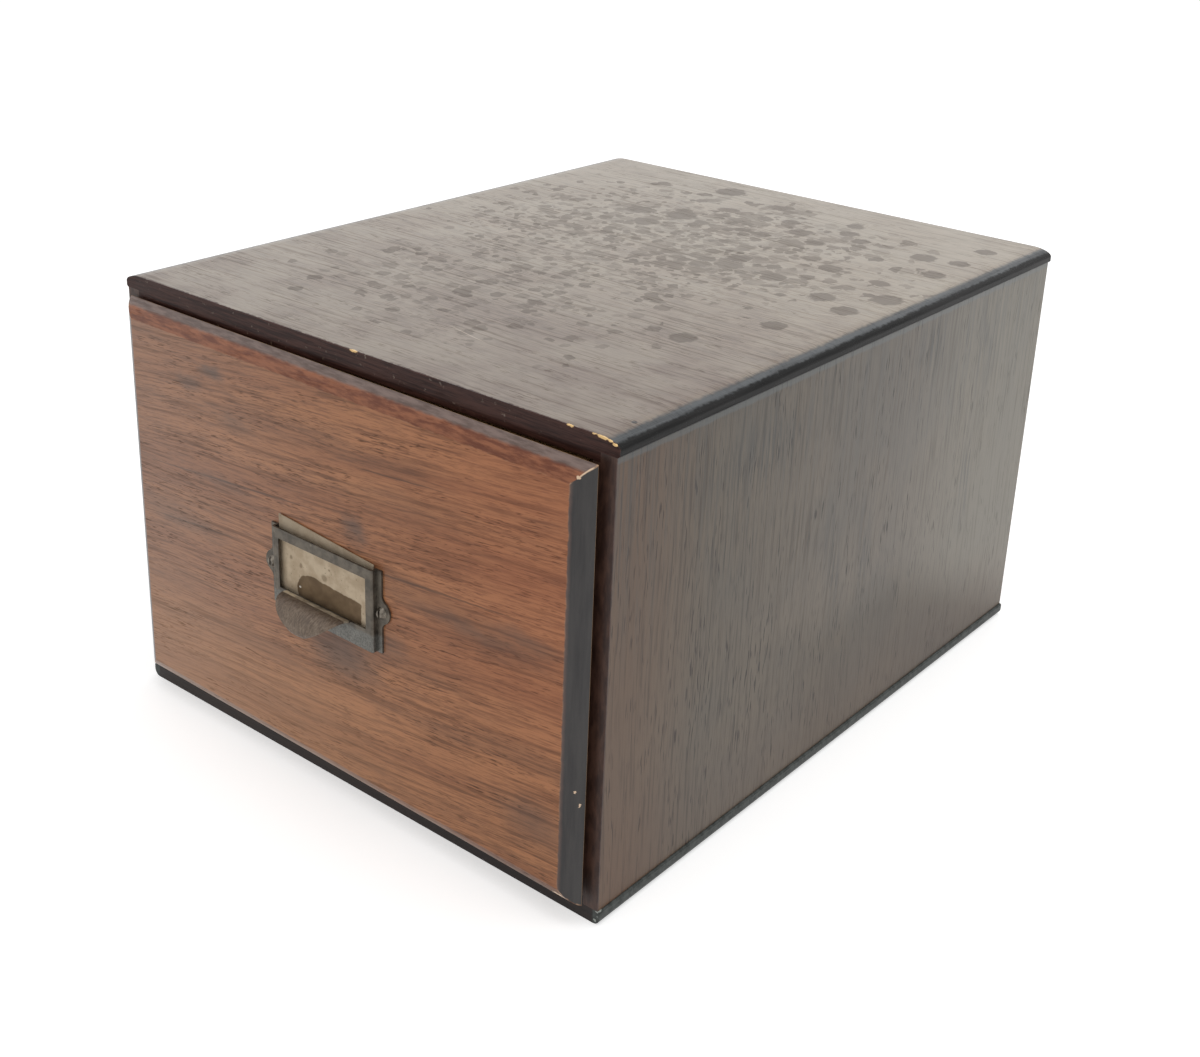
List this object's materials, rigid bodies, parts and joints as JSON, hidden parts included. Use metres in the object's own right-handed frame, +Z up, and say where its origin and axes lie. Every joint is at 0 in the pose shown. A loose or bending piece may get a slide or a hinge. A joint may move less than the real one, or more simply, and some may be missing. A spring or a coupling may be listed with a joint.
{
  "type": "index card drawer",
  "caption": "Wooden desk drawer for standard index cards, with a moulded front, a label holder with a finger lip, and a sliding card follower.",
  "frame": {"origin": "middle of the case's underside, on the surface it stands on", "axes": "+Z up, -Y towards the person who opens the drawer, +X to that person's right"},
  "size_m": [0.248, 0.3275, 0.181],
  "materials": {
    "top_wood": "worn dark satin varnish",
    "base_wood": "worn dark satin varnish",
    "side_wood": "worn dark satin varnish",
    "back_wood": "bare, darkened",
    "brad_steel": "dull",
    "front_wood": "worn red-brown satin varnish",
    "box_wood": "bare, darkened",
    "panel_wood": "bare, darkened",
    "holder_metal": "patinated",
    "holder_screw": "patinated",
    "paper": "matt paper",
    "track_steel": "dull",
    "track_screw": "dull",
    "bracket_steel": "dull",
    "follower_wood": "dull",
    "follower_screw": "dull",
    "pin_steel": "dull",
    "cam_steel": "dull"
  },
  "bodies": {
    "case": {"case_top": "top_wood", "case_bottom": "base_wood", "case_side_left": "side_wood", "case_side_right": "side_wood", "case_back": "back_wood", "back_brads": "brad_steel"},
    "drawer": {"drawer_front": "front_wood", "drawer_side_left": "box_wood", "drawer_side_right": "box_wood", "drawer_back": "box_wood", "drawer_bottom": "panel_wood", "label_holder": "holder_metal", "holder_screws": "holder_screw", "follower_track": "track_steel", "track_screws": "track_screw"},
    "label": {"label_card": "paper"},
    "follower": {"follower_board": "follower_wood", "follower_bracket": "bracket_steel", "follower_screws": "follower_screw", "cam_pin": "pin_steel"},
    "cam": {"cam_lever": "cam_steel"}
  },
  "joints": [
    {"name": "drawer_slide", "type": "slide", "parent": "case", "child": "drawer", "axis": [0, -1, 0], "range_m": [-0.0013, 0.25]},
    {"name": "label_slide", "type": "slide", "parent": "drawer", "child": "label", "axis": [0, 0, 1], "range_m": [0, 0.04]},
    {"name": "follower_slide", "type": "slide", "parent": "drawer", "child": "follower", "axis": [0.0087, 1, 0], "range_m": [-0.12, 0.028]},
    {"name": "cam_turn", "type": "hinge", "parent": "follower", "child": "cam", "pos_m": [0.00139, 0.03895, 0.0292], "axis": [1, -0.0087, 0], "range_deg": [0, 60]}
  ]
}
